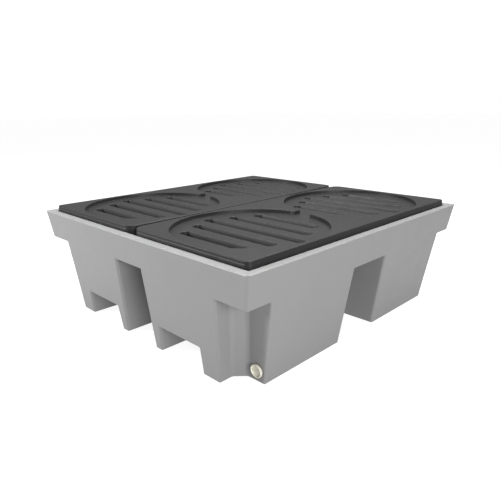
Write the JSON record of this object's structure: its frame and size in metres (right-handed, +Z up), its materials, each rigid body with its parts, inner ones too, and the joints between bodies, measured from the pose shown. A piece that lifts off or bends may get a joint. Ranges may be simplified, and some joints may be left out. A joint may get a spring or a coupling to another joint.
{
  "type": "spill containment pallet",
  "caption": "Square spill pallet: grey moulded sump tub on legs with fork pockets, black slotted lift-out deck with round drum recesses, and a screwed drain plug.",
  "frame": {"origin": "centre of the footprint, on the ground", "axes": "+Z up; the fork pockets run along Y; the drain plug is at the +X, -Y corner"},
  "size_m": [1.35, 1.35, 0.463],
  "materials": {
    "grey_polyethylene": "satin rotational moulding, faint orange peel",
    "black_polyethylene": "matte, fine moulded grain",
    "bush_polymer": "satin",
    "gasket_rubber": "matte",
    "plug_nylon": "satin moulded cream plastic"
  },
  "bodies": {
    "tub": {"sump_tub": "grey_polyethylene", "drain_insert": "bush_polymer"},
    "panel_right": {"deck_panel_right": "black_polyethylene"},
    "panel_left": {"deck_panel_left": "black_polyethylene"},
    "gasket": {"drain_gasket": "gasket_rubber"},
    "plug": {"drain_plug": "plug_nylon"}
  },
  "joints": [
    {"name": "lift_right", "type": "slide", "parent": "tub", "child": "panel_right", "axis": [0, 0, 1], "range_m": [0, 0.12]},
    {"name": "lift_left", "type": "slide", "parent": "tub", "child": "panel_left", "axis": [0, 0, 1], "range_m": [0, 0.12]},
    {"name": "gasket_slide", "type": "slide", "parent": "tub", "child": "gasket", "axis": [0, -0.9982, -0.0595], "range_m": [0, 0.0208]},
    {"name": "plug_screw", "type": "hinge", "parent": "gasket", "child": "plug", "pos_m": [0.569, -0.54074, 0.046], "axis": [0, -0.9982, -0.0595], "range_deg": [0, 3240]}
  ],
  "couplings": [
    {"joint": "gasket_slide", "follows": "plug_screw", "m_per_rad": 0.00036749}
  ]
}
